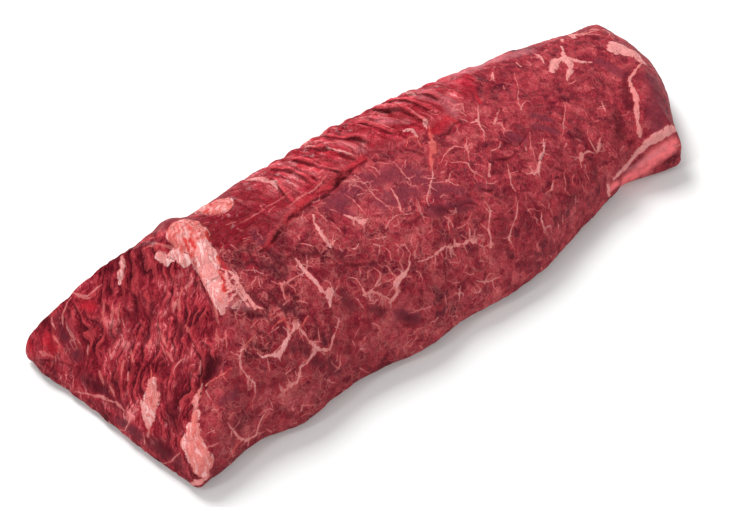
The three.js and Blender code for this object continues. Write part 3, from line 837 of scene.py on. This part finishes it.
def bundled(share, height, shade_in_gaps, roundness, sharpness, breadth, length, run, wander, wander_length):
    """Raises this share of the surface into long rounded bundles, and marks painted shade in the gaps between
    them.
    """
    height = np.broadcast_to(height, len(points))
    shade_in_gaps = np.broadcast_to(shade_in_gaps, len(points))
    for index in np.nonzero(share > LEAST_SHARE)[0]:
        place = Vector(points[index])
        swayed_place = place + wander * noise.noise_vector(place / wander_length)
        on_run = swayed_place.dot(run)
        cell = (swayed_place - run * on_run) / breadth + run * (on_run / length)
        distances = noise.voronoi(cell)[0]
        depth = distances[1] - distances[0]
        rise[index] += share[index] * height[index] * (1 - math.exp(-depth * roundness) - MEAN_RISE)
        gap_shade[index] += share[index] * shade_in_gaps[index] * math.exp(-depth * sharpness)


crag = spots["crag"]
deep = smooth_step(noise_at(points, DEEP_LENGTH, DEEP_SHIFT), *DEEP_FROM)
strand_height = STRAND_HEIGHT * (SHALLOW_STRANDS + (1 - SHALLOW_STRANDS) * deep)
strand_gap_shade = SHALLOW_GAP_SHADE + (1 - SHALLOW_GAP_SHADE) * deep
tight = LOOSE_FOLDS + (1 - LOOSE_FOLDS) * smooth_step(points[:, 0], *TIGHT_FROM)
even_face = 1 - cut_face - skin
bundled(cut_face, height=strand_height, shade_in_gaps=strand_gap_shade, roundness=3.5,
        sharpness=4.5, breadth=6, length=26, run=STRANDS_RUN, wander=3.4, wander_length=13)
bundled(skin, height=FOLD_HEIGHT * tight, shade_in_gaps=0.6, roundness=4,
        sharpness=5, breadth=5.5, length=24, run=FOLDS_RUN, wander=1.5, wander_length=9)
bundled(skin * crag, height=CRAG_HEIGHT, shade_in_gaps=0.8, roundness=4,
        sharpness=5, breadth=4, length=6, run=BUNDLES_RUN, wander=1.6, wander_length=5)
bundled(even_face, height=BUNDLE_HEIGHT + CRAG_HEIGHT * crag, shade_in_gaps=0.45 + 0.5 * crag, roundness=4,
        sharpness=6, breadth=5.5, length=9, run=BUNDLES_RUN, wander=1.6, wander_length=7)
thick_fat = fat_share * smooth_step(nearest[:, WIDTH], *THICK_FAT_FROM)
rise *= 1 - FAT_LEVELS * thick_fat
gap_shade *= 1 - fat_share
lumps = noise_at(points, LUMP_LENGTH) + noise_at(points, LUMP_LENGTH / 2) / 2
rise += LUMP_HEIGHT * lumps * thick_fat
rise += DIMPLE_HEIGHT * noise_at(points, DIMPLE_LENGTH)
rise += SWELL_HEIGHT * even_face * noise_at(points, SWELL_LENGTH, SWELL_SHIFT)
rise += FAT_HEIGHT * fat_share + BROAD_FAT_HEIGHT * broad_fat
rise += ledge - sunk
points = points + normals * (rise * off_the_table)[:, None]
points[:, 2] = np.maximum(points[:, 2], 0)

mesh = bpy.data.meshes.new("beef")
mesh.from_pydata((points * MM).tolist(), [], faces.tolist())
mesh.shade_smooth()
beef = bpy.data.objects.new("beef", mesh)
bpy.context.scene.collection.objects.link(beef)
known.update({
    "fat_outside": fat_outside,
    "fat_strength": nearest[:, STRENGTH],
    "fat_tint": nearest[:, TINT] + FRESH_REDNESS * spots["fresh"],
    "gap_shade": np.clip(gap_shade, 0, 1),
    "cut_face": cut_face,
    "skin": skin,
    **spots,
    "ledge_across": ledge_across,
    "ledge_height": ledge_height,
})
for name, values in known.items():
    attribute = mesh.attributes.new(name, "FLOAT", "POINT")
    attribute.data.foreach_set("value", np.asarray(values, np.float32))

# Raw beef. Muscle cut and trimmed with a knife: moist, mottled dark red, paler where fibres catch the light.
# Fat shows pale pink to orange in it, with ragged edges, and a wet film gives all of it a soft gloss.
NET_SIZE = 3.4
FINE_NET_SIZE = 1.8
STRAND_SPACING = 4.4
STRANDS_TURN = (-24, 21, 130)
WRINKLE_SCALE = 0.36
BUMP_HEIGHT = 1.1


def linear(hex_colour):
    """An sRGB hex colour as the linear colour that a shader takes."""
    parts = [int(hex_colour[start:start + 2], 16) / 255 for start in (1, 3, 5)]
    return (*[part / 12.92 if part <= 0.04045 else ((part + 0.055) / 1.055) ** 2.4 for part in parts], 1)


def add(kind, inputs=None, **settings):
    """Adds a node with its settings, sets or links its inputs, and gives its outputs."""
    made = tree.nodes.new(f"ShaderNode{kind}")
    for name, value in settings.items():
        setattr(made, name, value)
    for name, value in (inputs or {}).items():
        if isinstance(value, bpy.types.NodeSocket):
            tree.links.new(value, made.inputs[name])
        else:
            made.inputs[name].default_value = value
    return made.outputs


def per_mm(size):
    """The scale of a pattern whose features are this many millimetres."""
    return 1 / (size * MM)


def swayed(reach, size, turn=None, spans=None):
    """The place moved to and fro by up to about a quarter of the reach, over features of this size. With a
    turn and spans it is turned and scaled too, so that a pattern's features are that long each way."""
    sway = add("TexNoise", {"Vector": place, "Scale": per_mm(size), "Detail": 2})["Color"]
    sway = add("VectorMath", {0: sway, 1: (0.5, 0.5, 0.5)}, operation="SUBTRACT")[0]
    sway = add("VectorMath", {0: sway, 1: [reach * MM] * 3, 2: place}, operation="MULTIPLY_ADD")[0]
    if turn is None:
        return sway
    return add("Mapping", {"Vector": sway, "Rotation": [math.radians(angle) for angle in turn],
                           "Scale": [span * MM for span in spans]}, vector_type="TEXTURE")[0]


def weighed(parts):
    """The sum of the parts, each times its share."""
    total = 0.0
    for part, share in parts:
        total = add("Math", {0: part, 1: share, 2: total}, operation="MULTIPLY_ADD")[0]
    return total


def strongest(shares):
    """The greatest of the shares at each place."""
    most = shares[0]
    for share in shares[1:]:
        most = add("Math", {0: most, 1: share}, operation="MAXIMUM")[0]
    return most


def where(*parts):
    """The share where all of the parts hold. A part is a share, or a value with where on it the share begins,
    where it is full, and how much it is then."""
    shares = []
    for part in parts:
        if isinstance(part, tuple):
            value, start, full, amount = part
            part = add("MapRange", {"Value": value, "From Min": start, "From Max": full, "To Max": amount})[0]
        shares.append(part)
    together = shares[0]
    for share in shares[1:]:
        together = add("Math", {0: together, 1: share}, operation="MULTIPLY")[0]
    return together


def shaded(value, low, high, colours):
    """The value from low to high as a ramp through the colours."""
    outputs = add("ValToRGB", {"Fac": where((value, low, high, 1))})
    ramp = outputs["Color"].node.color_ramp
    while len(ramp.elements) < len(colours):
        ramp.elements.new(0.5)
    for index, hex_colour in enumerate(colours):
        ramp.elements[index].position = index / (len(colours) - 1)
        ramp.elements[index].color = linear(hex_colour)
    return outputs["Color"]


def coated(colour, *coats):
    """The colour with others laid over it one by one, each with the share of it that covers."""
    for share, over in coats:
        over = linear(over) if isinstance(over, str) else over
        colour = add("Mix", {0: share, 6: colour, 7: over}, data_type="RGBA")[2]
    return colour


meat = bpy.data.materials.new("raw_beef")
meat.use_nodes = True
tree = meat.node_tree
tree.nodes.clear()
place = add("TexCoord")["Object"]
position = add("SeparateXYZ", {"Vector": place})
along = position["X"]

# What the mesh knows at each point, and three noises that all of the meat shares.
at = {name: add("Attribute", attribute_name=name)["Fac"] for name in known}
patches = add("TexNoise", {"Vector": place, "Scale": per_mm(13), "Detail": 2})[0]
mottle = add("TexNoise", {"Vector": place, "Scale": per_mm(3.2), "Detail": 3})[0]
grain = add("TexNoise", {"Vector": place, "Scale": per_mm(0.8), "Detail": 2, "Roughness": 0.75})[0]

# The broad face: bundles of muscle of many reds, darker towards the cut face, with a net of pale threads,
# and painted shade in the creases between the bundles.
fibre_way = swayed(11, 8, (0, 0, -17), (0.55, 2.8, 0.55))
curls = add("TexNoise", {"Vector": fibre_way, "Scale": 1, "Detail": 2, "Distortion": 0.25})[0]
sway = swayed(5, 2.6)
bundles = add("TexVoronoi", {"Vector": sway, "Scale": per_mm(NET_SIZE)})["Color"]
bundle_tone = add("SeparateColor", {"Color": bundles})["Red"]
tone = weighed([(patches, 0.65), (mottle, 0.38), (grain, 0.2), (curls, 0.65), (bundle_tone, 0.3)])
net = add("TexVoronoi", {"Vector": sway, "Scale": per_mm(NET_SIZE)}, feature="DISTANCE_TO_EDGE")[0]
fine_net = add("TexVoronoi", {"Vector": sway, "Scale": per_mm(FINE_NET_SIZE)}, feature="DISTANCE_TO_EDGE")[0]
threads = strongest([where((net, 0.4 / NET_SIZE, 0, 0.6)), where((fine_net, 0.24 / FINE_NET_SIZE, 0, 0.3))])
broken = add("TexNoise", {"Vector": place, "Scale": per_mm(7), "Detail": 2, "Roughness": 0.6})[0]
netted = add("MapRange", {"Value": along, "From Min": 30 * MM, "From Max": -30 * MM, "To Min": 0.35})[0]
netted = add("Math", {0: at["crag"], 1: 0.9, 2: netted}, operation="MULTIPLY_ADD")[0]
colour = coated(
    shaded(tone, 0.795, 1.45, ["#521221", "#741c29", "#922a35", "#a53f46", "#bc6061"]),
    (where((net, 0.05, 0.3, 1), (bundle_tone, 0.25, 0.6, 0.75), at["crag"]), "#560a18"),
    (where(threads, (broken, 0.3, 0.6, 1), netted), "#c9706d"),
    (where((along, 0, -60 * MM, 0.3)), "#6a0e1c"),
    (where((at["gap_shade"], 0.1, 0.8, 0.75)), "#470f19"),
)

# The skin: pink and streaked across the shoulder, and along the steak near the cut face. Beside its fine
# wrinkles run pale lines that are partly pale membrane and partly painted highlight, the wrinkle creases are
# painted shade, and the gaps between its folds are darkened as painted shade too.
at_left = where((along, -34 * MM, -58 * MM, 1))
across_folds = swayed(5, 2.6, (0, 0, 16), (1.0, 9, 5))
along_steak = swayed(5, 2.6, (0, 0, -88), (0.9, 8, 1.4))
skin_way = add("Mix", {0: at_left, 4: across_folds, 5: along_steak}, data_type="VECTOR")[1]
streaks = add("TexNoise", {"Vector": skin_way, "Scale": 1, "Detail": 3, "Roughness": 0.6})[0]
wrinkles = add("TexVoronoi", {"Vector": skin_way, "Scale": WRINKLE_SCALE}, feature="DISTANCE_TO_EDGE")[0]
wrinkled = add("Math", {0: patches, 1: 2.4, 2: -0.7}, operation="MULTIPLY_ADD", use_clamp=True)[0]
skin_tone = weighed([(patches, 0.75), (streaks, 0.7), (grain, 0.2), (mottle, 0.3)])
skin_colour = coated(
    shaded(skin_tone, 0.74, 1.27, ["#760b1a", "#9c1b2c", "#ba3c47", "#cf6a70", "#e2989b"]),
    (where(at_left, (patches, 0.1, 0.55, 0.9)), "#64101e"),
    (where((wrinkles, 0.2, 0.08, 0.4), wrinkled), "#c85d60"),
    (where((wrinkles, 0.09, 0.03, 0.55), wrinkled), "#6e0c18"),
    (where((at["gap_shade"], 0.12, 0.5, 0.65)), "#6e0a17"),
)

# The cut face: hanging strands in layers, each bright red along its raised edge, partly as painted highlight,
# with painted shade where the next one starts and in the gaps between them.
hung = swayed(8, 6, STRANDS_TURN, (0.8, 8, 1.6))
fibres = add("TexNoise", {"Vector": hung, "Scale": 1, "Detail": 3, "Roughness": 0.6})[0]
strand_tone = weighed([(patches, 0.7), (fibres, 0.85), (grain, 0.15), (mottle, 0.35)])
hanging = add("SeparateXYZ", {"Vector": swayed(22, 17, STRANDS_TURN, [STRAND_SPACING] * 3)})["X"]
strand = add("Math", {0: weighed([(fibres, 0.3), (hanging, 1)])}, operation="FRACT")[0]
loose = add("TexNoise", {"Vector": place, "Scale": per_mm(9), "Detail": 1})[0]
loose = add("Math", {0: loose, 1: 3, 2: -0.9}, operation="MULTIPLY_ADD", use_clamp=True)[0]
loose = where(loose, (position["Z"], 5 * MM, 13 * MM, 1))
strand_colour = coated(
    shaded(strand_tone, 0.82, 1.27, ["#440812", "#6c1420", "#8a232e", "#a43e46", "#cf7677"]),
    (where((strand, 0.55, 0.8, 0.6), loose), "#c2444a"),
    (where((strand, 0.4, 0.05, 0.9), loose), "#380812"),
    (where((at["gap_shade"], 0.4, 0.95, 0.6)), "#3c0813"),
)
colour = coated(colour, (at["skin"], skin_colour), (at["cut_face"], strand_colour))

# The soft spots, each uneven as the mottle is. The hollows are darkened as painted shade, and the pale
# greyish pink spots are a painted sheen.
uneven = add("Math", {0: mottle, 1: 1.6, 2: 0.2}, operation="MULTIPLY_ADD")[0]
for name, amount, hex_colour in (
    ("pale_pink", 0.9, "#e66e72"),
    ("film", 0.75, "#702b37"),
    ("dark_film", 0.7, "#551a24"),
    ("painted_sheen", 0.42, "#c07279"),
    ("fresh", 0.5, "#bd2230"),
    ("hollow", 0.65, "#480c18"),
):
    colour = coated(colour, (where(at[name], uneven, amount), hex_colour))

# Each ledge has a bright lip just above its edge, partly the red of the fold and partly painted highlight,
# and painted shade in a dark crack just under it, stronger or weaker on skin.
ledge_share = add("Math", {0: at["ledge_height"], 1: 1}, operation="MINIMUM")[0]
for middle, reach, full, amount, off_skin, on_skin, hex_colour in (
    (0.7, 1.4, 0.4, 0.6, 0.3, 1.0, "#cf4a53"),
    (-0.5, 0.8, 0.15, 0.9, 1.0, 0.8, "#5a0f1a"),
):
    beside = add("Math", {0: at["ledge_across"], 1: middle}, operation="SUBTRACT")[0]
    beside = add("Math", {0: beside}, operation="ABSOLUTE")[0]
    shown = add("MapRange", {"Value": at["skin"], "To Min": off_skin, "To Max": on_skin})[0]
    colour = coated(colour, (where((beside, reach, full, amount), ledge_share, shown), hex_colour))

# The fat: its edges are ragged and soft, and the meat round it is redder. Broad fat is drawn into strips.
ragged = add("TexNoise", {"Vector": place, "Scale": per_mm(1.1), "Detail": 3, "Roughness": 0.6})[0]
ragged = add("Math", {0: ragged, 1: 0.5}, operation="SUBTRACT")[0]
fats = []
for number in range(LAYERS + 1):
    width = at[f"fat_width_{number}"]
    softness, raggedness = (0.2, 0.35) if number else (0.3, 0.7)
    reach = add("Math", {0: width, 1: 0.5, 2: raggedness}, operation="MULTIPLY_ADD")[0]
    edge = add("Math", {0: at[f"fat_across_{number}"]}, operation="ABSOLUTE")[0]
    edge = add("Math", {0: edge, 1: width}, operation="SUBTRACT")[0]
    edge = add("Math", {0: ragged, 1: reach, 2: edge}, operation="MULTIPLY_ADD")[0]
    inside = add("MapRange", {"Value": edge, "From Min": softness, "From Max": -softness},
                 interpolation_type="SMOOTHSTEP")[0]
    beyond = add("Math", {0: at[f"fat_near_{number}"], 1: width}, operation="SUBTRACT")[0]
    fats.append(where(inside, (beyond, 0.95, 0.6, 1)))
broad_share = fats[0]
is_fat = where(strongest(fats), at["fat_strength"])
strips = add("TexNoise", {"Vector": swayed(5, 6, (20, 0, -28), (1.2, 9, 2)), "Scale": 1, "Detail": 3})[0]
strip_tint = add("Math", {0: strips, 1: 0.5}, operation="SUBTRACT")[0]
stripe = add("Math", {0: strip_tint}, operation="ABSOLUTE")[0]
strip_share = add("Math", {0: broad_share, 1: 2.4, 2: 0.8}, operation="MULTIPLY_ADD")[0]
at_cut_end = where((along, 30 * MM, -50 * MM, 1))
tint = weighed([(mottle, 0.7), (where(strip_tint, strip_share, at_cut_end), 1), (at["fat_tint"], 1.1)])
fat_colour = coated(
    shaded(tint, -0.15, 1.7, ["#e6beb9", "#d49290", "#cb6e69", "#bc3a38"]),
    (where((stripe, 0.035, 0.005, 0.5), broad_share, at_cut_end), "#b5423f"),
)
colour = coated(colour, (where((at["fat_outside"], 1.1, 0.1, 0.25)), "#b02a36"), (is_fat, fat_colour))

# The fine relief, and the gloss: the meat has none of its own, and only the wet film on it shines.
wet = add("MapRange", {"Value": mottle, "To Min": 0.3, "To Max": 0.55})[0]
height = weighed([
    (grain, 0.25), (curls, 0.6), (streaks, 0.3), (is_fat, 0.3), (strips, 0.8),
    (where((strand, 0, 0.85, 1), (strand, 1, 0.85, 1), at["cut_face"], loose), 0.9),
    (where((wrinkles, 0, 0.2, 1), at["skin"]), 0.5),
    (where((at["ledge_across"], -0.3, 0.2, 1), at["ledge_height"]), 0.7),
])
shader = add("BsdfPrincipled", {
    "Base Color": colour,
    "Roughness": wet,
    "Normal": add("Bump", {"Height": height, "Strength": 1.0, "Distance": BUMP_HEIGHT * MM})[0],
    "IOR": 1.42,
    "Specular IOR Level": 0.0,
    "Coat Weight": 0.15,
    "Coat Roughness": 0.2,
})[0]
add("OutputMaterial", {"Surface": shader})
mesh.materials.append(meat)
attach(beef, "root")
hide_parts("steak")

# The table and the light. The steak lies on a plain white table in a bright room, under a soft light that
# hangs over and behind it. A low light behind gives the wet meat its sheen, and three weak ones fill the
# sides.
TABLE_SIZE = 6
ROOM_STRENGTH = 0.52
half = TABLE_SIZE / 2
corners = [(-half, -half, 0), (half, -half, 0), (half, half, 0), (-half, half, 0)]
table_mesh = bpy.data.meshes.new("table")
table_mesh.from_pydata(corners, [], [(0, 1, 2, 3)])
table = bpy.data.objects.new("table", table_mesh)
bpy.context.scene.collection.objects.link(table)
white = bpy.data.materials.new("white_table")
white.use_nodes = True
paint = white.node_tree.nodes["Principled BSDF"].inputs
paint["Base Color"].default_value = linear("#e2e2e2")
paint["Roughness"].default_value = 0.9
table_mesh.materials.append(white)

for name, place, size, power in (
    ("overhead_light", Vector((0.1, 1.0, 1.25)), 0.7, 29.5),
    ("back_light", Vector((0.2, 1.4, 0.6)), 0.4, 7),
    ("side_light", Vector((-0.9, 0.1, 0.9)), 0.15, 2.5),
    ("low_light", Vector((-0.9, -0.9, 0.4)), 0.3, 6),
    ("near_light", Vector((0.8, -1.0, 0.4)), 0.5, 4),
):
    lamp = bpy.data.lights.new(name, "AREA")
    lamp.energy = power
    lamp.size = size
    light = bpy.data.objects.new(name, lamp)
    light.visible_glossy = name == "back_light"
    light.matrix_world = Matrix.Translation(place) @ place.to_track_quat("Z", "Y").to_matrix().to_4x4()
    bpy.context.scene.collection.objects.link(light)

room = bpy.data.worlds.new("bright_room")
room.use_nodes = True
room.node_tree.nodes["Background"].inputs["Color"].default_value = (1, 1, 1, 1)
room.node_tree.nodes["Background"].inputs["Strength"].default_value = ROOM_STRENGTH
bpy.context.scene.world = room
bpy.context.scene.view_settings.view_transform = "Standard"
